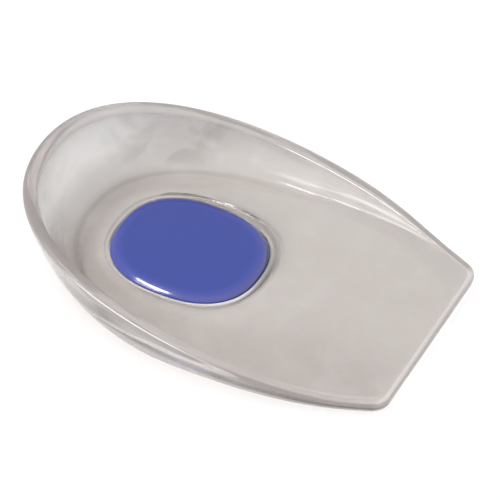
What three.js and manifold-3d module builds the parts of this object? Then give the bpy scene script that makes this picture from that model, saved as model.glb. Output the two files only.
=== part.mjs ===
// Heel cup: a clear silicone cup that lies under the heel, with a softer pad let into its floor.
// Millimetres. +X points to the toes, +Y to the left, +Z up; the flat underside lies on Z = 0.
import * as THREE from "three";
import { mergeVertices } from "three/addons/utils/BufferGeometryUtils.js";
import Module from "manifold-3d";

// Overall sizes
const LENGTH = 100;
const RIM_WIDTH = 72;
const HEEL_HEIGHT = 21;
const TOE_THICKNESS = 2.3;

// Plan outlines. "back" is measured from the toe edge to the rearmost point, "side" is half of
// the greatest width, "toe" is half of the width at the toe edge, "set" is how far the outline
// stands behind the toe edge.
const SOLE = { back: 82, side: 32, toe: 24.2, set: 0.3 };
const RIM = { back: LENGTH, side: RIM_WIDTH / 2, toe: 24.6, set: 0 };
const FLOOR = { back: 88, side: 28.6, toe: 22.4, set: 2 };
const WIDEST_FROM_TOE = 47;
const CORNER_RADIUS = 3;
// How much narrower each side gets per millimetre where it meets the toe corner
const TOE_TAPER = 0.42;

// Wall
const WALL_AT_HEEL = 3.6;
const WALL_AT_SIDE = 2.7;
const WALL_AT_TOE = 1.2;
const RIM_ROUNDING = 1.4;
// 2 would round the rim's top in an ellipse; more leaves it flatter between tighter edges
const RIM_SQUARENESS = 3.2;
// The rim is level over this length behind the toe edge and climbs from there
const RIM_LEVEL_LENGTH = 11.5;
const RIM_CLIMB_EASE = 0.06;
const RIM_CLIMB_POWER = 0.9;

// Floor: a plane that rises from the toe edge to the heel
const FLOOR_AT_TOE = 2.15;
const FLOOR_SLOPE = 0.032;

// Soft pad and the pocket that it lies in
const PAD = { length: 36, width: 31.4, thickness: 2.5, crown: 0.3, rounding: 0.9, shoulder: 2.2 };
const PAD_FROM_TOE = 61.6;
const PAD_PROUD = 0.3;
const PAD_GAP = 0.4;
const OVAL_SQUARENESS = 2.4;
// The shallow step round the pocket's mouth, which is wider on the toe side
const STEP = { length: 40.4, width: 34.8, depth: 0.6, toeShift: 0.9 };

// How finely the curves are cut
const HEEL_SEGMENTS = 22;
const SIDE_SEGMENTS = 18;
const CORNER_SEGMENTS = 5;
const OVAL_SEGMENTS = 72;
const WALL_STEPS = 9;
const RIM_STEPS = 8;
const PAD_EDGE_STEPS = 4;
const PAD_CROWN_STEPS = 5;

// Bezier handles of a plan outline, as shares of the run that they lie along
const HEEL_HANDLE = { across: 0.68, along: 0.57 };
const SIDE_HANDLE = { start: 0.35, end: 0.41 };

// Bezier handles of the wall's section, from its foot to the start of the rim's rounding, as
// shares of its run across and of its height. It leaves its foot level.
const OUTER_SECTION = { foot: 0.31, across: 0.82, up: 0.5 };
const INNER_SECTION = { foot: 0.42, across: 0.86, up: 0.45 };

const mix = THREE.MathUtils.lerp;

// Keeps close to "limit" where there is room for it and fades out with "room" where there isn't.
function softLimit(room, limit) {
  return (room * limit) / (room + limit);
}

function blend(from, to, share) {
  return {
    back: mix(from.back, to.back, share),
    side: mix(from.side, to.side, share),
    toe: mix(from.toe, to.toe, share),
    set: mix(from.set, to.set, share),
  };
}

// Half of a plan outline, from the rearmost point round the left side to the middle of the toe.
function halfOutline({ back, side, toe, set }) {
  const toeX = LENGTH / 2;
  const rear = new THREE.Vector2(toeX - back, 0);
  const widest = new THREE.Vector2(toeX - WIDEST_FROM_TOE, side);
  const corner = new THREE.Vector2(toeX - set, toe);
  const beforeCorner = new THREE.Vector2(
    corner.x - CORNER_RADIUS,
    corner.y + CORNER_RADIUS * TOE_TAPER,
  );
  const heelRun = back - WIDEST_FROM_TOE;
  const sideRun = WIDEST_FROM_TOE - set;
  const heel = new THREE.CubicBezierCurve(
    rear,
    new THREE.Vector2(rear.x, side * HEEL_HANDLE.across),
    new THREE.Vector2(widest.x - heelRun * HEEL_HANDLE.along, side),
    widest,
  );
  const flank = new THREE.CubicBezierCurve(
    widest,
    new THREE.Vector2(widest.x + sideRun * SIDE_HANDLE.start, side),
    new THREE.Vector2(
      corner.x - sideRun * SIDE_HANDLE.end,
      corner.y + sideRun * SIDE_HANDLE.end * TOE_TAPER,
    ),
    beforeCorner,
  );
  const turn = new THREE.QuadraticBezierCurve(
    beforeCorner,
    corner,
    new THREE.Vector2(corner.x, corner.y - CORNER_RADIUS),
  );
  return [
    ...heel.getPoints(HEEL_SEGMENTS),
    ...flank.getPoints(SIDE_SEGMENTS).slice(1),
    ...turn.getPoints(CORNER_SEGMENTS).slice(1),
    new THREE.Vector2(corner.x, 0),
  ];
}

// The whole outline, counterclockwise from above, starting at the rearmost point.
function outline(sizes) {
  const left = halfOutline(sizes);
  const right = left.map((p) => new THREE.Vector2(p.x, -p.y));
  return [...right, ...left.slice(1, -1).reverse()];
}

function floorHeight(x) {
  return FLOOR_AT_TOE + FLOOR_SLOPE * (LENGTH / 2 - x);
}

function rimHeight(x) {
  const crest = LENGTH - WALL_AT_HEEL / 2;
  const run = (LENGTH / 2 - x - RIM_LEVEL_LENGTH) / (crest - RIM_LEVEL_LENGTH);
  const eased = (run + Math.hypot(run, RIM_CLIMB_EASE)) / 2;
  return TOE_THICKNESS + (HEEL_HEIGHT - TOE_THICKNESS) * eased ** RIM_CLIMB_POWER;
}

// A ring of points over a plan outline, with its height as a function of x.
function ring(sizes, height) {
  return outline(sizes).map((p) => new THREE.Vector3(p.x, p.y, height(p.x)));
}

// A closed surface through a stack of rings with the same number of points, from the ring that
// closes it below to the ring that closes it above.
function loft(rings) {
  const count = rings[0].length;
  const index = [];
  for (let r = 0; r + 1 < rings.length; r++) {
    for (let i = 0; i < count; i++) {
      const next = (i + 1) % count;
      const [a, b, c, d] = [i, next, i + count, next + count].map((k) => k + r * count);
      index.push(a, b, c, b, d, c);
    }
  }
  const top = (rings.length - 1) * count;
  for (const [a, b, c] of THREE.ShapeUtils.triangulateShape(rings[0], [])) index.push(a, c, b);
  for (const face of THREE.ShapeUtils.triangulateShape(rings.at(-1), [])) {
    index.push(...face.map((k) => k + top));
  }
  const points = rings.flat().flatMap((p) => [p.x, p.y, p.z]);
  const geometry = new THREE.BufferGeometry();
  geometry.setAttribute("position", new THREE.Float32BufferAttribute(points, 3));
  geometry.setIndex(index);
  return geometry;
}

// Points up the wall's section: how far across from its foot to the rim, and how far up.
function sectionPoints({ foot, across, up }) {
  return new THREE.CubicBezierCurve(
    new THREE.Vector2(0, 0),
    new THREE.Vector2(foot, 0),
    new THREE.Vector2(across, up),
    new THREE.Vector2(1, 1),
  ).getPoints(WALL_STEPS);
}

// The cup before the pocket is cut: sole, outer wall, rounded rim, inner wall and floor.
function cupBlank() {
  const inner = {
    back: RIM.back - WALL_AT_HEEL,
    side: RIM.side - WALL_AT_SIDE,
    toe: RIM.toe - WALL_AT_TOE,
    set: RIM.set + WALL_AT_TOE,
  };
  const outerRounding = (x) => softLimit(rimHeight(x), RIM_ROUNDING);
  const innerRounding = (x) => softLimit(rimHeight(x) - floorHeight(x), RIM_ROUNDING);
  const outer = sectionPoints(OUTER_SECTION).map(({ x: across, y: up }) =>
    ring(blend(SOLE, RIM, across), (x) => up * (rimHeight(x) - outerRounding(x))),
  );
  const rim = [];
  const power = 2 / RIM_SQUARENESS;
  for (let step = 1; step < RIM_STEPS; step++) {
    const angle = (Math.PI * step) / RIM_STEPS;
    const c = Math.cos(angle);
    const across = (1 - Math.sign(c) * Math.abs(c) ** power) / 2;
    const rounding = step < RIM_STEPS / 2 ? outerRounding : innerRounding;
    const drop = 1 - Math.sin(angle) ** power;
    rim.push(ring(blend(RIM, inner, across), (x) => rimHeight(x) - rounding(x) * drop));
  }
  const hollow = sectionPoints(INNER_SECTION).map(({ x: across, y: up }) =>
    ring(blend(FLOOR, inner, across), (x) =>
      mix(floorHeight(x), rimHeight(x) - innerRounding(x), up),
    ),
  );
  return loft([...outer, ...rim, ...hollow.reverse()]);
}

// A level superellipse ring round the pad's middle.
function ovalRing(halfLength, halfWidth, height) {
  const power = 2 / OVAL_SQUARENESS;
  return Array.from({ length: OVAL_SEGMENTS }, (_, i) => {
    const angle = (2 * Math.PI * i) / OVAL_SEGMENTS;
    const [c, s] = [Math.cos(angle), Math.sin(angle)];
    return new THREE.Vector3(
      halfLength * Math.sign(c) * Math.abs(c) ** power,
      halfWidth * Math.sign(s) * Math.abs(s) ** power,
      height,
    );
  });
}

// Lays a shape that was drawn round the pad's middle, floor at Z = 0, onto the sloping floor.
function layOnFloor(geometry) {
  const x = LENGTH / 2 - PAD_FROM_TOE;
  return geometry.rotateY(Math.atan(FLOOR_SLOPE)).translate(x, 0, floorHeight(x));
}

function padRing(inset, height) {
  return ovalRing(PAD.length / 2 - inset, PAD.width / 2 - inset, height);
}

// The pad: a rounded edge below, a wider shoulder above, then a low crown over its middle.
function padGeometry() {
  const under = PAD_PROUD - PAD.thickness;
  const lower = [];
  const upper = [];
  for (let step = 0; step <= PAD_EDGE_STEPS; step++) {
    const angle = (Math.PI * step) / (2 * PAD_EDGE_STEPS);
    const inset = 1 - Math.sin(angle);
    const rise = PAD.rounding * (1 - Math.cos(angle));
    lower.push(padRing(PAD.rounding * inset, under + rise));
    upper.unshift(padRing(PAD.shoulder * inset, PAD_PROUD - rise));
  }
  const crown = [];
  const reach = PAD.width / 2 - PAD.shoulder;
  for (let step = 1; step < PAD_CROWN_STEPS; step++) {
    const share = step / PAD_CROWN_STEPS;
    const height = PAD_PROUD + PAD.crown * (1 - (1 - share) ** 2);
    crown.push(padRing(PAD.shoulder + reach * share, height));
  }
  return layOnFloor(loft([...lower, ...upper, ...crown]));
}

// The pocket under the pad and the shallow step round its mouth, standing proud of the floor
// so that the cut leaves no skin.
function pocketGeometry() {
  const under = PAD_PROUD - PAD.thickness - PAD_GAP;
  const proud = STEP.depth;
  const deep = [under, -STEP.depth].map((height) => padRing(-PAD_GAP, height));
  const step = [-STEP.depth, proud].map((height) =>
    ovalRing(STEP.length / 2, STEP.width / 2, height).map((p) => p.setX(p.x + STEP.toeShift)),
  );
  return layOnFloor(loft([...deep, ...step]));
}

const wasm = await Module();
wasm.setup();

function toSolid(geometry) {
  const merged = mergeVertices(geometry, 1e-4);
  return new wasm.Manifold(
    new wasm.Mesh({
      numProp: 3,
      vertProperties: merged.attributes.position.array,
      triVerts: new Uint32Array(merged.index.array),
    }),
  );
}

function toGeometry(solid) {
  const { numProp, vertProperties, triVerts } = solid.getMesh();
  const geometry = new THREE.BufferGeometry();
  const buffer = new THREE.InterleavedBuffer(vertProperties, numProp);
  geometry.setAttribute("position", new THREE.InterleavedBufferAttribute(buffer, 3, 0));
  geometry.setIndex(new THREE.Uint32BufferAttribute(triVerts, 1));
  return geometry.toNonIndexed();
}

function piece(name, geometry, look) {
  geometry.computeVertexNormals();
  const mesh = new THREE.Mesh(geometry, new THREE.MeshStandardMaterial(look));
  mesh.name = name;
  return mesh;
}

const heelCup = new THREE.Group();
heelCup.name = "heel_cup";
heelCup.add(
  piece(
    "cup_body",
    toGeometry(toSolid(cupBlank()).subtract(toSolid(pocketGeometry()))),
    { color: 0xcfc9c5, roughness: 0.15, transparent: true, opacity: 0.55 },
  ),
  piece("soft_spot", padGeometry(), { color: 0x4c5aa5, roughness: 0.25 }),
);

export default heelCup;
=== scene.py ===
"""A clear silicone heel cup with a blue soft spot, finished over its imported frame."""
import math

import bmesh
import bpy
from bpy.props import FloatProperty, FloatVectorProperty, PointerProperty
from bpy.types import Operator, Panel, PropertyGroup
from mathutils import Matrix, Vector, noise
from mathutils.geometry import interpolate_bezier


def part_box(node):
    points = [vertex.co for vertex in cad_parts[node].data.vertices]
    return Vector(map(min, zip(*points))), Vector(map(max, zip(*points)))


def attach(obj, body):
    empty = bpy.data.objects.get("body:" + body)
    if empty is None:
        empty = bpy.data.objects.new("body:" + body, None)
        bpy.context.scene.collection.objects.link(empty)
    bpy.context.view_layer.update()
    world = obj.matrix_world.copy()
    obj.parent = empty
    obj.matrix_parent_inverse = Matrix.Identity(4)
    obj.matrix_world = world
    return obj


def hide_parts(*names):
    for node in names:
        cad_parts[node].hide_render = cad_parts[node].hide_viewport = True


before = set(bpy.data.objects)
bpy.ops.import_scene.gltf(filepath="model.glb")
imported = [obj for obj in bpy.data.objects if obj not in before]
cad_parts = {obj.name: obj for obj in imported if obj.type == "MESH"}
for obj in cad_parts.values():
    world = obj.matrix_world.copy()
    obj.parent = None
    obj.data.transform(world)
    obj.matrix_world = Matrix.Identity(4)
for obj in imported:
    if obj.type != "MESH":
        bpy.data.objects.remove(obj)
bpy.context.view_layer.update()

bl_info = {
    "name": "Heel cup",
    "version": (1, 0, 0),
    "blender": (4, 5, 0),
    "location": "3D View > Sidebar > Heel cup",
    "description": "Models a clear silicone heel cup with a blue soft spot in its floor",
    "category": "Add Mesh",
}

MM = 0.001

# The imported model's box, and the solids that the pieces take their sizes and places from
CUP_LOW, CUP_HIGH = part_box("cup_body")
PAD_LOW, PAD_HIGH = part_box("soft_spot")
TOE_X = CUP_HIGH.x

# Bezier handles of a plan outline, as shares of the run that they lie along
HEEL_HANDLE_ACROSS = 0.68
HEEL_HANDLE_ALONG = 0.57
SIDE_HANDLE_START = 0.35
SIDE_HANDLE_END = 0.41
CORNER_HANDLE = 2 / 3
# How much narrower each side gets per metre where it meets the toe corner
TOE_TAPER = 0.42

# Bezier handles of the wall's section: along its level foot, then across and up at the rim
OUTER_SECTION = (0.31, 0.82, 0.5)
INNER_SECTION = (0.42, 0.86, 0.45)

# The rim's climb from the toe to the heel
RIM_CLIMB_EASE = 0.06
RIM_CLIMB_POWER = 0.9

# Powers of the superellipses: 2 rounds in an ellipse, 1 cuts straight, and more is squarer
RIM_SQUARENESS = 3.2
OVAL_SQUARENESS = 2.4
PAD_EDGE_SQUARENESS = 1.14

# The faces of the wall that ripple, by the course that each starts at, as mark_courses numbers them
OUTER_FACE = 0
INNER_FACE = 2
# How much of the ripple the outer face has
OUTER_CALM = 0.35
# Widths of the broad and the fine ripple, the fine one's share, and how far apart the faces read it
RIPPLE_BROAD = 11 * MM
RIPPLE_FINE = 6 * MM
RIPPLE_FINE_SHARE = 0.4
RIPPLE_SHIFT = 5

# Width of the sole's border, which keeps the shading of its middle flat
SOLE_INSET = 1.2 * MM

# How finely the curves are cut
HEEL_POINTS = 56
SIDE_POINTS = 44
CORNER_POINTS = 9
TOE_POINTS = 12
WALL_STEPS = 20
RIM_STEPS = 20
FLOOR_STEPS = 8
LIP_STEPS = 10
DEEP_STEPS = 4
PAD_POINTS = 160
PAD_EDGE_STEPS = 12
PAD_CROWN_STEPS = 10
SMOOTH_ANGLE = math.radians(40)

WHITE = (1, 1, 1, 1)

# Bands of the clear cup by course: where each starts, is full, begins to fade and ends. A course
# is 0 at the sole, 1 at the rim's outside, 2 at its inside, 3 at the floor's edge, 4 at the
# pocket's mouth, 5 at the foot of its step and nearly 6 at its bottom.
BANDS = {
    "low": (0.05, 0.2, 0.5, 0.7),
    "painted_highlight_streak": (0.58, 0.76, 0.8, 0.95),
    "edge": (0.7, 1.0, 1.9, 2.05),
    "painted_highlight_brink": (1.0, 1.03, 1.08, 1.14),
    "rim": (1.02, 1.1, 1.85, 1.95),
    "fore": (1.1, 1.3, 2.95, 3.1),
    "painted_glint": (1.82, 1.88, 1.92, 1.97),
    "painted_shade_wisps": (2.05, 2.2, 2.6, 2.95),
    "haze": (2.05, 2.25, 2.62, 2.78),
    "foot": (2.75, 3.05, 3.4, 4),
    "crease": (2.75, 2.87, 3.0, 3.15),
    "painted_seam_shade": (2.9, 2.98, 3.0, 3.08),
    "lip": (3.98, 4.02, 4.4, 4.6),
    "painted_trough_light": (4.4, 4.7, 5.6, 5.9),
}
# Stretches along the cup, given in the same way as places on x
STRETCHES = {
    "painted_shade_wisps": (-44 * MM, -36 * MM, -26 * MM, -14 * MM),
    "painted_highlight_brink": (-30 * MM, -20 * MM, 0, 12 * MM),
    "painted_highlight_streak": (-20 * MM, -8 * MM, 14 * MM, 32 * MM),
    "painted_glint": (-8 * MM, 0, 26 * MM, 36 * MM),
}
# Soft steps on x, from where each is still 0 to where it is 1
STEPS_ALONG = {
    "rear": (-30 * MM, -44 * MM),
    "heel": (5 * MM, -40 * MM),
    "painted_seam_shade": (12 * MM, -20 * MM),
    "haze": (-12 * MM, -3 * MM),
    "ahead": (-8 * MM, 6 * MM),
    "fore": (4 * MM, 20 * MM),
    "crease": (8 * MM, 18 * MM),
    "rim": (49 * MM, 42 * MM),
    "painted_toe_highlight": (47 * MM, 49.2 * MM),
}
# Soft steps on y, up from the floor, and by course from the floor's edge to the wall
RIGHT_SIDE = (2 * MM, -22 * MM)
LEFT_SIDE = (10 * MM, 26 * MM)
WALL_FOOT = (0.5 * MM, 6 * MM)
OFF_FLOOR = (3.0, 2.9)

# Clouds in the clear silicone: cells per metre, detail and distortion of each noise, and the
# soft step that is taken of it
CLOUDS = {
    "smear": {"noise": (160, 3, 0), "step": (0.45, 0.75)},
    "painted_shade_wisps": {"noise": (70, 2, 1.6), "step": (0.44, 0.54)},
    "painted_shade_blots": {"noise": (42, 3, 2), "step": (0.52, 0.63)},
    "painted_glint": {"noise": (120, 1, 0), "step": (0.4, 0.5)},
    "crease": {"noise": (900, 2, 0), "step": (0.4, 0.5)},
}
# How much of the painted shade wisps shows between the clouds that they follow
WISPS_BETWEEN = 0.25
# Cells per metre that hold a speck each, and the step from its middle outwards, in cells
SPECK_CELLS = 130
SPECK_SIZE = (0.015, 0.045)
# How much of the rim's painted shade is lost at the heel's left, and of the lip's at its right and
# ahead
RIM_LOSS_LEFT = 0.875
LIP_LOSS_RIGHT = 0.875
LIP_LOSS_AHEAD = 0.25

# How strongly each mark of the clear silicone darkens or brightens its tone, dulls its gloss, makes
# it milky and pales that milk
# Apart from the specks, the smear and the haze, these marks are painted shade, painted light and
# painted highlights
CLEAR_MARKS = {
    # painted shade: a darker band along the rim
    "rim": {"darken": 0.4},
    # painted shade: a darker ring on the sloping lip of the pocket
    "lip": {"darken": 0.4},
    # painted shade: a thin dark line where the inner wall meets the floor, towards the heel
    "painted_seam_shade": {"darken": 0.22},
    # painted shade: darker where the floor meets the wall, towards the heel and along the right side
    "painted_heel_foot_shade": {"darken": 0.55},
    "painted_right_foot_shade": {"darken": 0.35},
    # painted shade: dark blotches over the walls, standing in for their refraction
    "painted_shade_blots": {"darken": 0.25},
    # painted shade: dark wisps on the left wall near the heel, standing in for its refraction
    "painted_shade_wisps": {"darken": 0.5},
    "specks": {"darken": 0.4},
    # painted shade: the left wall darker, and more so towards the toe
    "painted_left_wall_shade": {"darken": 0.14},
    "painted_left_fore_shade": {"darken": 0.16},
    # painted light: the walls at the heel lighter
    "painted_rear_wall_light": {"brighten": 0.45},
    "smear": {"brighten": 0.1, "dull": 0.05},
    "haze": {"dull": 0.2},
    # painted shade: the lower part of the right outer wall milky and mauve
    "low": {"milk": 0.5},
    # painted highlight: a pale milky streak along the right outer wall
    "painted_highlight_streak": {"milk": 0.14, "pale": 0.5},
    # painted highlight: a pale line along the rim's outer edge on the right
    "painted_highlight_brink": {"milk": 0.28, "pale": 1},
    # painted highlight: a broken pale line along the rim's inner edge on the left
    "painted_glint": {"milk": 0.58, "pale": 1},
    # painted highlight: a pale line along the toe edge
    "painted_toe_highlight": {"milk": 0.12, "pale": 0.25},
    # painted light: the pocket's step and deep wall paler, on the right and towards the toe
    "painted_trough_light": {"milk": 0.2, "pale": 0.6},
    # painted light: the milk paler along the left side
    "left": {"pale": 0.15},
}
CLEAR_ROUGHNESS = 0.02
# Cells per metre of the waves in the clear surface, and the share of the fine ones
BROAD_WAVES = 60
FINE_WAVES = 300
FINE_WAVE_SHARE = 0.1

# How strongly each mark of the blue silicone pales it and dulls its gloss
BLUE_MARKS = {
    # painted sheen: paler towards the outline
    "edge": {"pale": 0.5},
    "cloud": {"pale": 0.15, "dull": 0.06},
    "brim": {"dull": 0.04},
}
BLUE_ROUGHNESS = 0.08
# Soft steps from the soft spot's middle, at 0, to its outline, at 1
# painted sheen: where the soft spot starts to pale and where it is palest
BLUE_SHEEN = (0.8, 1.0)
BLUE_BRIM = (0.92, 0.97)
BLUE_CLOUDS = (120, 3)
BLUE_WAVES = 60

# The stage: where the camera and the lamps point, how far the camera sees, and the floor
LOOK_AT = Vector((3.9 * MM, 0.2 * MM, 10 * MM))
CAMERA_REACH = 20
FLOOR_SIDE = 8
FLOOR_GAP = 0.05 * MM
FLOOR_GRAIN = 30
FLOOR_GRAIN_STRENGTH = 0.05
# Softboxes, with the place of their middle and their width and height in metres, and their watts
LAMPS = {
    "overhead": {"place": (-0.3, -0.05, 0.8), "spread": (0.22, 0.22), "power": 1.6},
    "near_window": {"place": (-0.42, -0.72, 0.38), "spread": (0.32, 0.035), "power": 0.8},
    "high_window": {"place": (-0.38, -0.64, 0.585), "spread": (0.36, 0.12), "power": 3.4},
}


def size(name, description, default):
    """A length that the user can set, in metres."""
    return FloatProperty(
        name=name, description=description, default=default, min=0, unit="LENGTH", precision=5
    )


def tint(name, description, default):
    """A colour that the user can set."""
    return FloatVectorProperty(
        name=name, description=description, default=default, subtype="COLOR", min=0, max=1
    )


def share(name, description, default):
    """A share from nothing to all."""
    return FloatProperty(name=name, description=description, default=default, min=0, max=1)


class HEELCUP_CupSizes(PropertyGroup):
    """Sizes of the clear cup."""

    length: size("Length", "From the toe edge to the back of the rim", CUP_HIGH.x - CUP_LOW.x)
    width: size("Width", "Across the rim where it is widest", CUP_HIGH.y - CUP_LOW.y)
    heel_height: size("Heel height", "Height of the rim's crest at the heel", 21 * MM)
    toe_thickness: size("Toe thickness", "Height of the rim at the toe edge", 2.3 * MM)
    widest: size("Widest", "From the toe edge to where the cup is widest", 47 * MM)
    corner: size("Corner", "Size of the round at each toe corner", 3 * MM)
    sole_back: size("Sole back", "From the toe edge to the back of the flat sole", 82 * MM)
    sole_side: size("Sole side", "Half the width of the flat sole", 32 * MM)
    sole_toe: size("Sole toe", "Half the width of the sole at the toe edge", 24.2 * MM)
    sole_set: size("Sole set", "How far the sole stands behind the toe edge", 0.3 * MM)
    rim_toe: size("Rim toe", "Half the width of the rim at the toe edge", 24.6 * MM)
    floor_back: size("Floor back", "From the toe edge to the back of the floor", 88 * MM)
    floor_side: size("Floor side", "Half the width of the floor", 28.6 * MM)
    floor_toe: size("Floor toe", "Half the width of the floor at the toe edge", 22.4 * MM)
    floor_set: size("Floor set", "How far the floor stands behind the toe edge", 2 * MM)
    floor_at_toe: size("Floor at toe", "Height of the floor at the toe edge", 2.15 * MM)
    floor_slope: share("Floor slope", "Rise of the floor towards the heel", 0.032)
    wall_heel: size("Wall at heel", "Thickness of the wall at the heel", 3.6 * MM)
    wall_side: size("Wall at side", "Thickness of the wall at the sides", 2.7 * MM)
    wall_toe: size("Wall at toe", "Width of the edge along the toe", 1.2 * MM)
    rim_rounding: size("Rim rounding", "Height of the rim's rounded top", 1.4 * MM)
    rim_level: size("Rim level", "How far the rim stays level behind the toe edge", 11.5 * MM)
    ripple: size("Ripple", "How far the moulded walls wander from true", 0.7 * MM)


class HEELCUP_PadSizes(PropertyGroup):
    """Sizes of the soft spot and of the pocket that it lies in."""

    length: size("Length", "Length of the soft spot", 36 * MM)
    width: size("Width", "Width of the soft spot", PAD_HIGH.y - PAD_LOW.y)
    from_toe: size("From toe", "From the toe edge to the middle of the soft spot", 61.6 * MM)
    thickness: size("Thickness", "From its underside to its shoulder", 2.5 * MM)
    crown: size("Crown", "Height of its top over its shoulder", 0.3 * MM)
    rounding: size("Rounding", "Height of its rounded edges", 1.05 * MM)
    shoulder: size("Shoulder", "How far in the rounding of its top reaches", 1.0 * MM)
    proud: size("Proud", "How far its shoulder stands over the floor", 0.45 * MM)
    gap: size("Gap", "Between the soft spot and the walls of its pocket", 0.4 * MM)
    step_length: size("Step length", "Length of the step round the pocket", 40.4 * MM)
    step_width: size("Step width", "Width of the step round the pocket", 34.8 * MM)
    step_depth: size("Step depth", "Depth of the step round the pocket", 0.6 * MM)
    step_shift: size("Step shift", "How far the step lies towards the toe", 0.9 * MM)
    step_slope: share("Step slope", "How much of the step's width slopes", 0.5)


class HEELCUP_Finish(PropertyGroup):
    """Colours of the two silicones, and of the painted light, painted shade and painted sheen on
    them.
    """

    clear: tint("Clear floor", "Tone of the clear silicone in the floor", (0.62, 0.6, 0.583))
    # painted light: the clear silicone a little lighter up the walls than in the floor
    clear_wall_painted_light: tint("Clear wall", "Tone of the clear silicone up the walls", (0.635, 0.612, 0.592))
    # painted shade: the tone that the painted shade marks darken the clear silicone towards, which
    # the specks take too
    clear_painted_shade_and_specks: tint("Clear shade", "Tone where the clear silicone turns away", (0.2, 0.172, 0.163))
    clear_milk: tint("Clear milk", "Colour of the milkiness in it", (0.57, 0.52, 0.505))
    clear_pass: tint("Clear passing", "Light that each clear surface passes", (0.93, 0.92, 0.91))
    clear_depth: tint("Clear depth", "What the clear silicone lets through", (0.5, 0.44, 0.41))
    milk: share("Milk", "How milky the clear silicone is", 0.12)
    milk_edge: share("Milk at edges", "How much milkier it is along the rim", 0.33)
    clear_density: FloatProperty(
        name="Clear density",
        description="How fast thick clear silicone darkens, per metre",
        default=8,
        min=0,
    )
    blue: tint("Blue silicone", "Colour of the soft spot", (0.02, 0.044, 0.29))
    # painted sheen: the colour that the soft spot pales to towards its outline
    blue_painted_sheen: tint("Blue edge", "Colour of the soft spot's thin edge", (0.09, 0.1, 0.4))


class HEELCUP_Stage(PropertyGroup):
    """Floor, light and camera."""

    azimuth: FloatProperty(
        name="Azimuth",
        description="How far round the camera stands, from the right side towards the toe",
        default=math.radians(26.6),
        subtype="ANGLE",
    )
    elevation: FloatProperty(
        name="Elevation",
        description="Height of the camera over the horizon",
        default=math.radians(43.4),
        subtype="ANGLE",
    )
    distance: size("Distance", "From the camera to the cup", 1.6)
    view_width: size("View width", "Width of the picture at the cup", 114 * MM)
    floor_colour: tint("Floor", "Colour of the floor", (0.9, 0.9, 0.9))
    world_light: FloatProperty(name="World light", description="Light all round", default=0.75)


# Outlines and heights


def blend(start, end, part):
    """Sizes of the outline that lies between two others."""
    return {key: start[key] + (end[key] - start[key]) * part for key in start}


def plan_outlines(cup):
    """The four outlines that the cup is laid through, seen from above."""
    rim = {"back": cup.length, "side": cup.width / 2, "toe": cup.rim_toe, "set": 0}
    inner = {
        "back": rim["back"] - cup.wall_heel,
        "side": rim["side"] - cup.wall_side,
        "toe": rim["toe"] - cup.wall_toe,
        "set": cup.wall_toe,
    }
    sole = {
        "back": cup.sole_back,
        "side": cup.sole_side,
        "toe": cup.sole_toe,
        "set": cup.sole_set,
    }
    floor = {
        "back": cup.floor_back,
        "side": cup.floor_side,
        "toe": cup.floor_toe,
        "set": cup.floor_set,
    }
    return sole, rim, inner, floor


def half_outline(cup, shape):
    """Half of an outline, from the rearmost point round the left side to the toe's middle."""
    rear = Vector((TOE_X - shape["back"], 0))
    widest = Vector((TOE_X - cup.widest, shape["side"]))
    corner = Vector((TOE_X - shape["set"], shape["toe"]))
    before = corner + Vector((-cup.corner, cup.corner * TOE_TAPER))
    after = corner - Vector((0, cup.corner))
    heel_run = shape["back"] - cup.widest
    side_run = cup.widest - shape["set"]
    heel = interpolate_bezier(
        rear,
        rear + Vector((0, shape["side"] * HEEL_HANDLE_ACROSS)),
        widest - Vector((heel_run * HEEL_HANDLE_ALONG, 0)),
        widest,
        HEEL_POINTS,
    )
    side = interpolate_bezier(
        widest,
        widest + Vector((side_run * SIDE_HANDLE_START, 0)),
        corner + Vector((-1, TOE_TAPER)) * side_run * SIDE_HANDLE_END,
        before,
        SIDE_POINTS,
    )
    turn = interpolate_bezier(
        before,
        before.lerp(corner, CORNER_HANDLE),
        after.lerp(corner, CORNER_HANDLE),
        after,
        CORNER_POINTS,
    )
    toe = [after.lerp(Vector((corner.x, 0)), (k + 1) / TOE_POINTS) for k in range(TOE_POINTS)]
    return heel + side[1:] + turn[1:] + toe


def outline(cup, shape):
    """A whole outline, counterclockwise from above, from the rearmost point."""
    left = half_outline(cup, shape)
    right = [Vector((p.x, -p.y)) for p in left]
    return right + left[-2:0:-1]


def floor_height(cup, x):
    """Height of the sloping floor."""
    return cup.floor_at_toe + cup.floor_slope * (TOE_X - x)


def rim_height(cup, x):
    """Height of the rim's crest: level at the toe, then a nearly straight climb to the heel."""
    crest = cup.length - cup.wall_heel / 2
    run = (TOE_X - x - cup.rim_level) / (crest - cup.rim_level)
    eased = (run + math.hypot(run, RIM_CLIMB_EASE)) / 2
    return cup.toe_thickness + (cup.heel_height - cup.toe_thickness) * eased**RIM_CLIMB_POWER


def soft_limit(room, limit):
    """Close to the limit where there is room for it, and less where there isn't."""
    return room * limit / (room + limit)


def section(handles):
    """Points up the wall's section: how far across from its foot, and how far up."""
    foot, across, up = handles
    points = (Vector((0, 0)), Vector((foot, 0)), Vector((across, up)), Vector((1, 1)))
    return interpolate_bezier(*points, WALL_STEPS)


# Rings


def ring(points, height):
    """Lifts an outline to its height as a function of x."""
    return [Vector((p.x, p.y, height(p.x))) for p in points]


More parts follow.
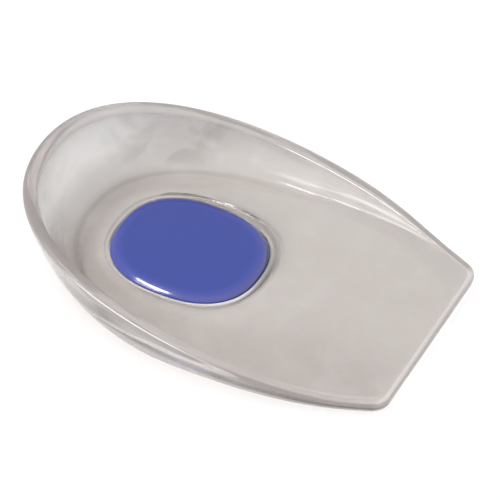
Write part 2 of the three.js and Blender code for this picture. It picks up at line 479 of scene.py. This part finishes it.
def wall_rings(cup):
    """Rings out over the sole, up the outer wall, over the rim and down the inner wall."""
    sole, rim, inner, floor = plan_outlines(cup)

    def crest(x):
        return rim_height(cup, x)

    def base(x):
        return floor_height(cup, x)

    def outer_round(x):
        return soft_limit(crest(x), cup.rim_rounding)

    def inner_round(x):
        return soft_limit(crest(x) - base(x), cup.rim_rounding)

    inset = {
        "back": sole["back"] - SOLE_INSET,
        "side": sole["side"] - SOLE_INSET,
        "toe": sole["toe"] - SOLE_INSET,
        "set": sole["set"] + SOLE_INSET,
    }
    rings = [ring(outline(cup, inset), lambda x: 0)]
    for across, up in section(OUTER_SECTION):
        edge = outline(cup, blend(sole, rim, across))
        rings.append(ring(edge, lambda x, up=up: up * (crest(x) - outer_round(x))))
    for step in range(1, RIM_STEPS):
        angle = math.pi * step / RIM_STEPS
        across = math.copysign(abs(math.cos(angle)) ** (2 / RIM_SQUARENESS), math.cos(angle))
        edge = outline(cup, blend(rim, inner, (1 - across) / 2))
        drop = 1 - math.sin(angle) ** (2 / RIM_SQUARENESS)
        rounding = outer_round if step < RIM_STEPS / 2 else inner_round
        rings.append(ring(edge, lambda x, d=drop, r=rounding: crest(x) - r(x) * d))
    for across, up in reversed(section(INNER_SECTION)):
        edge = outline(cup, blend(floor, inner, across))
        rings.append(
            ring(edge, lambda x, up=up: base(x) + (crest(x) - inner_round(x) - base(x)) * up)
        )
    return rings


def oval_point(angle, half_length, half_width):
    """A point of a superellipse in the given direction from its middle."""
    c, s = math.cos(angle), math.sin(angle)
    along = abs(c / half_length) ** OVAL_SQUARENESS
    across = abs(s / half_width) ** OVAL_SQUARENESS
    reach = (along + across) ** (-1 / OVAL_SQUARENESS)
    return Vector((c * reach, s * reach))


def pocket_rings(cup, pad, edge):
    """Rings in from the floor's edge to the pocket's mouth, over its step and down to its floor."""
    middle = Vector((TOE_X - pad.from_toe, 0))
    angles = [math.atan2(p.y, p.x - middle.x) for p in edge]
    mouth = [
        middle
        + Vector((pad.step_shift, 0))
        + oval_point(a, pad.step_length / 2, pad.step_width / 2)
        for a in angles
    ]
    deep = [
        middle + oval_point(a, pad.length / 2 + pad.gap, pad.width / 2 + pad.gap) for a in angles
    ]

    def floor_ring(points, depth):
        return ring(points, lambda x: floor_height(cup, x) - depth)

    def between(start, end, part):
        return [Vector((a.x, a.y)).lerp(b, part) for a, b in zip(start, end)]

    rings = [
        floor_ring(between(edge, mouth, step / FLOOR_STEPS), 0)
        for step in range(1, FLOOR_STEPS + 1)
    ]
    for step in range(1, LIP_STEPS + 1):
        part = step / LIP_STEPS
        fall = math.sin(math.pi / 2 * min(1, part / pad.step_slope))
        rings.append(floor_ring(between(mouth, deep, part), pad.step_depth * fall))
    under = pad.thickness + pad.gap - pad.proud
    for step in range(1, DEEP_STEPS + 1):
        part = step / DEEP_STEPS
        rings.append(floor_ring(deep, pad.step_depth + (under - pad.step_depth) * part))
    return rings


def pad_rings(cup, pad):
    """Rings of the soft spot: rounded below and at its shoulder, then its low crown."""
    middle = Vector((TOE_X - pad.from_toe, 0))

    def pad_ring(inset, height):
        points = [
            middle
            + oval_point(math.tau * k / PAD_POINTS, pad.length / 2 - inset, pad.width / 2 - inset)
            for k in range(PAD_POINTS)
        ]
        return ring(points, lambda x: floor_height(cup, x) + height)

    lower, upper, crown = [], [], []
    power = 2 / PAD_EDGE_SQUARENESS
    for step in range(PAD_EDGE_STEPS + 1):
        angle = math.pi / 2 * step / PAD_EDGE_STEPS
        inset = 1 - math.sin(angle) ** power
        rise = pad.rounding * (1 - abs(math.cos(angle)) ** power)
        lower.append(pad_ring(pad.rounding * inset, pad.proud - pad.thickness + rise))
        upper.insert(0, pad_ring(pad.shoulder * inset, pad.proud - rise))
    reach = pad.width / 2 - pad.shoulder
    for step in range(1, PAD_CROWN_STEPS):
        part = step / PAD_CROWN_STEPS
        height = pad.proud + pad.crown * (1 - (1 - part) ** 2)
        crown.append(pad_ring(pad.shoulder + reach * part, height))
    return lower + upper + crown


# Mesh


def lay_rings(name, rings):
    """A closed body through the rings: a disc at the first, extruded ring by ring to the last."""
    bpy.ops.object.select_all(action="DESELECT")
    bpy.ops.mesh.primitive_circle_add(vertices=len(rings[0]), radius=TOE_X, fill_type="NGON")
    piece = bpy.context.object
    piece.name = name
    for vertex, place in zip(piece.data.vertices, rings[0]):
        vertex.co = place
    bpy.ops.object.mode_set(mode="EDIT")
    bpy.ops.mesh.select_all(action="SELECT")
    order = {}
    for index, vertex in enumerate(bmesh.from_edit_mesh(piece.data).verts):
        order[tuple(vertex.co)] = index
    for places in rings[1:]:
        bpy.ops.mesh.extrude_region_move()
        mesh = bmesh.from_edit_mesh(piece.data)
        moved = {}
        for vertex in mesh.verts:
            if vertex.select:
                index = order[tuple(vertex.co)]
                vertex.co = places[index]
                moved[tuple(vertex.co)] = index
        order = moved
        bmesh.update_edit_mesh(piece.data)
    bpy.ops.mesh.select_all(action="SELECT")
    bpy.ops.mesh.normals_make_consistent(inside=False)
    bpy.ops.object.mode_set(mode="OBJECT")
    return piece


def mark_courses(piece, count):
    """Numbers the courses up, over and down the wall, for the material: 1 to 2 is the rim."""
    runs = (WALL_STEPS, RIM_STEPS - 1, WALL_STEPS, FLOOR_STEPS, LIP_STEPS, DEEP_STEPS)
    courses = [0]
    courses += [run + step / steps for run, steps in enumerate(runs) for step in range(steps)]
    course = piece.data.attributes.new("course", "FLOAT", "POINT")
    for index, place in enumerate(course.data):
        place.value = courses[index // count]


def ripple_walls(piece, cup):
    """Lets both faces of the wall wander a little, each in its own way, and more if it is tall."""
    for vertex, course in zip(piece.data.vertices, piece.data.attributes["course"].data):
        face, part = divmod(course.value, 1)
        if face not in (OUTER_FACE, INNER_FACE):
            continue
        place = vertex.co
        shift = Vector((0, 0, face * RIPPLE_SHIFT))
        wander = noise.noise(place / RIPPLE_BROAD + shift)
        wander += RIPPLE_FINE_SHARE * noise.noise(place / RIPPLE_FINE + shift)
        tall = rim_height(cup, place.x) / cup.heel_height
        if face == OUTER_FACE:
            tall *= OUTER_CALM
        outward = Vector((place.x, place.y, 0)).normalized()
        vertex.co = place + outward * wander * cup.ripple * tall * math.sin(math.pi * part)


def finish_piece(piece, material, node):
    """Smooths a piece, gives it its material and ties it to the solid that it stands for."""
    bpy.ops.object.shade_smooth_by_angle(angle=SMOOTH_ANGLE)
    piece.data.materials.clear()
    piece.data.materials.append(material)
    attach(piece, "root")
    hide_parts(node)


# Materials


class Socket:
    """A node's output in an expression: each operator adds a Math node."""

    def __init__(self, paint, output):
        self.paint = paint
        self.output = output

    def __add__(self, other):
        return self.paint.math("ADD", self, other)

    def __sub__(self, other):
        return self.paint.math("SUBTRACT", self, other)

    def __rsub__(self, other):
        return self.paint.math("SUBTRACT", other, self)

    def __mul__(self, other):
        return self.paint.math("MULTIPLY", self, other)

    def __truediv__(self, other):
        return self.paint.math("DIVIDE", self, other)

    def __pow__(self, other):
        return self.paint.math("POWER", self, other)

    __radd__ = __add__
    __rmul__ = __mul__


class Paint:
    """The node tree of one material."""

    def __init__(self, name):
        self.material = bpy.data.materials.new(name)
        self.material.use_nodes = True
        self.tree = self.material.node_tree
        self.tree.nodes.clear()
        self.place = self.node("TexCoord", output="Object")

    def node(self, kind, inputs=(), output=0, **settings):
        """Adds a node: its settings first, then the values or links of its sockets."""
        node = self.tree.nodes.new("ShaderNode" + kind)
        for key, value in settings.items():
            setattr(node, key, value)
        for key, value in dict(inputs).items():
            if isinstance(value, Socket):
                self.tree.links.new(value.output, node.inputs[key])
            else:
                node.inputs[key].default_value = value
        return Socket(self, node.outputs[output]) if node.outputs else node

    def math(self, operation, first, second):
        """A Math node on two numbers or outputs."""
        return self.node("Math", {0: first, 1: second}, operation=operation)

    def noise(self, scale, detail=2, distortion=0):
        """Noise over the piece, from 0 to 1; the scale is in cells per metre."""
        inputs = {"Vector": self.place, "Scale": scale, "Detail": detail, "Distortion": distortion}
        return self.node("TexNoise", inputs)

    def smooth(self, value, low, high):
        """A soft step from 0 at low to 1 at high."""
        return self.node(
            "MapRange",
            {"Value": value, "From Min": low, "From Max": high},
            interpolation_type="SMOOTHSTEP",
        )

    def window(self, value, start, full, fade, end):
        """Rises from 0 to 1 and falls back to 0."""
        return self.smooth(value, start, full) * (1 - self.smooth(value, fade, end))

    def mix(self, factor, first, second):
        """A mix of two colours."""
        return self.node("Mix", {0: factor, 6: first, 7: second}, output=2, data_type="RGBA")

    def split(self):
        """The piece's x, y and z in metres."""
        return [self.node("SeparateXYZ", {0: self.place}, output=k) for k in range(3)]

    def output(self, surface, volume=None):
        """Ends the tree and gives the finished material."""
        inputs = {"Surface": surface}
        if volume:
            inputs["Volume"] = volume
        self.node("OutputMaterial", inputs)
        return self.material


def opaque(colour):
    """A colour with full alpha."""
    return (*colour, 1)


def total(marks, strengths, effect):
    """The sum of the marks that have this effect, each as strong as the table says."""
    return sum(marks[name] * row[effect] for name, row in strengths.items() if effect in row)


def clear_marks(paint, cup):
    """Where each mark of the clear silicone lies, from 0 to 1. Most of the marks are painted shade,
    painted light and painted highlights; the specks and the smear are the silicone's own.
    """
    x, y, z = paint.split()
    course = paint.node("Attribute", output="Fac", attribute_name="course")
    band = {name: paint.window(course, *ends) for name, ends in BANDS.items()}
    stretch = {name: paint.window(x, *ends) for name, ends in STRETCHES.items()}
    along = {name: paint.smooth(x, *ends) for name, ends in STEPS_ALONG.items()}
    cloud = {
        name: paint.smooth(paint.noise(*row["noise"]), *row["step"])
        for name, row in CLOUDS.items()
    }
    right = paint.smooth(y, *RIGHT_SIDE)
    left = paint.smooth(y, *LEFT_SIDE)
    wall = paint.smooth(z - (TOE_X - x) * cup.floor_slope - cup.floor_at_toe, *WALL_FOOT)
    cells = paint.node("TexVoronoi", {"Vector": paint.place, "Scale": SPECK_CELLS})
    painted_shade_wisps = WISPS_BETWEEN + cloud["painted_shade_wisps"] * (1 - WISPS_BETWEEN)
    haze = band["haze"] * along["haze"] + band["crease"] * along["crease"] * cloud["crease"]
    # Apart from the specks, the smear and the haze, the marks are painted shade, painted light and
    # painted highlights
    return {
        "wall": wall,
        "left": left,
        # painted shade on the left wall, more towards the toe
        "painted_left_wall_shade": left * wall,
        # painted light on the walls at the heel
        "painted_rear_wall_light": along["rear"] * wall,
        "painted_left_fore_shade": band["fore"] * along["fore"] * left,
        # painted shade: the right outer wall's lower part milky
        "low": band["low"] * right,
        "edge": band["edge"],
        # painted shade along the rim
        "rim": band["rim"] * along["rim"] * (1 - left * along["heel"] * RIM_LOSS_LEFT),
        # painted shade where the floor meets the wall
        "painted_heel_foot_shade": band["foot"] * along["heel"],
        "painted_right_foot_shade": band["foot"] * right,
        # painted shade: a thin dark line at the inner wall's foot
        "painted_seam_shade": band["painted_seam_shade"] * along["painted_seam_shade"],
        # painted shade on the pocket's lip
        "lip": band["lip"] * (1 - right * LIP_LOSS_RIGHT - along["ahead"] * LIP_LOSS_AHEAD),
        # painted light in the pocket's step and deep wall
        "painted_trough_light": band["painted_trough_light"] * (right + along["ahead"]),
        # painted highlight along the toe edge
        "painted_toe_highlight": along["painted_toe_highlight"] * paint.smooth(course, *OFF_FLOOR),
        # painted highlight streak on the right outer wall
        "painted_highlight_streak": band["painted_highlight_streak"] * stretch["painted_highlight_streak"] * right,
        # painted highlight along the rim's right outer edge
        "painted_highlight_brink": band["painted_highlight_brink"] * stretch["painted_highlight_brink"] * right,
        # painted highlight along the rim's left inner edge
        "painted_glint": band["painted_glint"] * stretch["painted_glint"] * left * cloud["painted_glint"],
        # painted shade wisps on the left wall near the heel
        "painted_shade_wisps": band["painted_shade_wisps"] * stretch["painted_shade_wisps"] * left * painted_shade_wisps,
        "haze": haze * left,
        "smear": cloud["smear"],
        # painted shade blotches over the walls
        "painted_shade_blots": cloud["painted_shade_blots"] * wall,
        "specks": 1 - paint.smooth(cells, *SPECK_SIZE),
    }


def clear_silicone(finish, cup):
    """Clear, slightly warm silicone: glossy, faintly wavy, darker where light goes far in it, and
    with painted shade, painted light and painted highlights in its tone and its milkiness.
    """
    paint = Paint("clear_silicone")
    marks = clear_marks(paint, cup)
    # painted light: the tone a little lighter up the walls
    tone = paint.mix(marks["wall"], opaque(finish.clear), opaque(finish.clear_wall_painted_light))
    # the painted shade marks, and the specks, darken the tone
    tone = paint.mix(total(marks, CLEAR_MARKS, "darken"), tone, opaque(finish.clear_painted_shade_and_specks))
    waves = paint.noise(BROAD_WAVES) + paint.noise(FINE_WAVES) * FINE_WAVE_SHARE
    looks = {
        # painted light on the walls at the heel, and the smear's random lightening
        "Base Color": paint.mix(total(marks, CLEAR_MARKS, "brighten"), tone, WHITE),
        "Roughness": total(marks, CLEAR_MARKS, "dull") + CLEAR_ROUGHNESS,
        "IOR": 1.41,
        "Normal": paint.node("Bump", {"Strength": 0.15, "Distance": 0.4 * MM, "Height": waves}),
    }
    glassy = paint.node("BsdfPrincipled", {**looks, "Transmission Weight": 1})
    # painted highlights and painted light pale the milk towards white
    milk_colour = paint.mix(total(marks, CLEAR_MARKS, "pale"), opaque(finish.clear_milk), WHITE)
    milky = paint.node("BsdfPrincipled", {**looks, "Base Color": milk_colour})
    # painted highlights and the painted shade band on the right outer wall add milkiness
    milk = marks["edge"] * finish.milk_edge + total(marks, CLEAR_MARKS, "milk") + finish.milk
    gel = paint.node("MixShader", {0: milk, 1: glassy, 2: milky})
    passing = paint.node("BsdfTransparent", {"Color": opaque(finish.clear_pass)})
    lamp_ray = paint.node("LightPath", output="Is Shadow Ray")
    body = paint.node("MixShader", {0: lamp_ray, 1: gel, 2: passing})
    depth = paint.node(
        "VolumeAbsorption",
        {"Color": opaque(finish.clear_depth), "Density": finish.clear_density},
    )
    return paint.output(body, depth)


def blue_silicone(finish, pad):
    """Glossy blue silicone, with a painted sheen that pales it towards its outline."""
    paint = Paint("blue_silicone")
    x, y, _ = paint.split()
    along = paint.math("ABSOLUTE", (x - (TOE_X - pad.from_toe)) / (pad.length / 2), 0)
    across = paint.math("ABSOLUTE", y / (pad.width / 2), 0)
    reach = (along**OVAL_SQUARENESS + across**OVAL_SQUARENESS) ** (1 / OVAL_SQUARENESS)
    marks = {
        # painted sheen towards the outline
        "edge": paint.smooth(reach, *BLUE_SHEEN),
        "cloud": paint.noise(*BLUE_CLOUDS),
        "brim": paint.smooth(reach, *BLUE_BRIM),
    }
    pale = total(marks, BLUE_MARKS, "pale")
    waves = paint.noise(BLUE_WAVES)
    body = paint.node(
        "BsdfPrincipled",
        {
            "Base Color": paint.mix(pale, opaque(finish.blue), opaque(finish.blue_painted_sheen)),
            "Roughness": total(marks, BLUE_MARKS, "dull") + BLUE_ROUGHNESS,
            "IOR": 1.65,
            "Coat Weight": marks["brim"],
            "Coat Roughness": 0.1,
            "Normal": paint.node(
                "Bump", {"Strength": 0.06, "Distance": 0.2 * MM, "Height": waves}
            ),
        },
    )
    return paint.output(body)


def plain_floor(colour):
    """Matt pale floor."""
    paint = Paint("plain_floor")
    grain = paint.noise(FLOOR_GRAIN) * FLOOR_GRAIN_STRENGTH
    pale = paint.mix(grain, opaque(colour), WHITE)
    body = paint.node("BsdfPrincipled", {"Base Color": pale, "Roughness": 0.8})
    return paint.output(body)


# Stage


def add_lamp(name, place, target, spread, power):
    """An oblong softbox that faces the target."""
    lamp = bpy.data.lights.new(name, "AREA")
    lamp.shape = "RECTANGLE"
    lamp.size, lamp.size_y = spread
    lamp.energy = power
    holder = bpy.data.objects.new(name, lamp)
    holder.location = place
    holder.rotation_euler = (Vector(target) - Vector(place)).to_track_quat("-Z", "Y").to_euler()
    bpy.context.collection.objects.link(holder)


def add_camera(stage):
    """The camera at the picture's angle, far off with a long lens."""
    data = bpy.data.cameras.new("camera")
    camera = bpy.data.objects.new("camera", data)
    azimuth, elevation = stage.azimuth, stage.elevation
    back = Vector(
        (
            math.sin(azimuth) * math.cos(elevation),
            -math.cos(azimuth) * math.cos(elevation),
            math.sin(elevation),
        )
    )
    data.lens = data.sensor_width * stage.distance / stage.view_width
    data.clip_end = CAMERA_REACH
    camera.location = LOOK_AT + back * stage.distance
    camera.rotation_euler = (-back).to_track_quat("-Z", "Y").to_euler()
    bpy.context.collection.objects.link(camera)
    bpy.context.scene.camera = camera


class HEELCUP_OT_clear_cup(Operator):
    """Models the clear cup with its pocket"""

    bl_idname = "heelcup.clear_cup"
    bl_label = "Clear cup"

    def execute(self, context):
        scene = context.scene
        cup, pad = scene.heelcup_cup, scene.heelcup_pad
        rings = wall_rings(cup)
        rings += pocket_rings(cup, pad, rings[-1])
        piece = lay_rings("clear_cup", rings)
        mark_courses(piece, len(rings[0]))
        ripple_walls(piece, cup)
        finish_piece(
            piece, clear_silicone(scene.heelcup_finish, cup), "cup_body"
        )
        return {"FINISHED"}


class HEELCUP_OT_blue_spot(Operator):
    """Models the blue soft spot"""

    bl_idname = "heelcup.blue_spot"
    bl_label = "Blue soft spot"

    def execute(self, context):
        scene = context.scene
        cup, pad = scene.heelcup_cup, scene.heelcup_pad
        piece = lay_rings("blue_spot", pad_rings(cup, pad))
        finish_piece(piece, blue_silicone(scene.heelcup_finish, pad), "soft_spot")
        return {"FINISHED"}


class HEELCUP_OT_stage(Operator):
    """Lays the floor and sets the lights and the camera"""

    bl_idname = "heelcup.stage"
    bl_label = "Stage"

    def execute(self, context):
        stage = context.scene.heelcup_stage
        bpy.ops.object.select_all(action="DESELECT")
        bpy.ops.mesh.primitive_plane_add(size=FLOOR_SIDE, location=(0, 0, -FLOOR_GAP))
        floor = context.object
        floor.name = "floor"
        floor.data.materials.append(plain_floor(stage.floor_colour))
        for name, lamp in LAMPS.items():
            add_lamp(name, lamp["place"], LOOK_AT, lamp["spread"], lamp["power"])
        world = bpy.data.worlds.new("studio")
        world.use_nodes = True
        background = world.node_tree.nodes["Background"]
        background.inputs["Color"].default_value = WHITE
        background.inputs["Strength"].default_value = stage.world_light
        context.scene.world = world
        context.scene.view_settings.view_transform = "Standard"
        add_camera(stage)
        return {"FINISHED"}


class HEELCUP_PT_panel(Panel):
    """Heel cup tools"""

    bl_idname = "HEELCUP_PT_panel"
    bl_label = "Heel cup"
    bl_space_type = "VIEW_3D"
    bl_region_type = "UI"
    bl_category = "Heel cup"

    def draw(self, context):
        for group in GROUPS:
            box = self.layout.box()
            settings = getattr(context.scene, group)
            for key in settings.__annotations__:
                box.prop(settings, key)
        for operator in OPERATORS:
            self.layout.operator(operator.bl_idname)


GROUPS = {
    "heelcup_cup": HEELCUP_CupSizes,
    "heelcup_pad": HEELCUP_PadSizes,
    "heelcup_finish": HEELCUP_Finish,
    "heelcup_stage": HEELCUP_Stage,
}
OPERATORS = (HEELCUP_OT_clear_cup, HEELCUP_OT_blue_spot, HEELCUP_OT_stage)


def register():
    for cls in (*GROUPS.values(), *OPERATORS, HEELCUP_PT_panel):
        bpy.utils.register_class(cls)
    for name, cls in GROUPS.items():
        setattr(bpy.types.Scene, name, PointerProperty(type=cls))


def unregister():
    for name in GROUPS:
        delattr(bpy.types.Scene, name)
    for cls in (HEELCUP_PT_panel, *reversed(OPERATORS), *reversed(GROUPS.values())):
        bpy.utils.unregister_class(cls)


def main():
    register()
    bpy.ops.heelcup.clear_cup()
    bpy.ops.heelcup.blue_spot()
    bpy.ops.heelcup.stage()


if __name__ == "__main__":
    main()
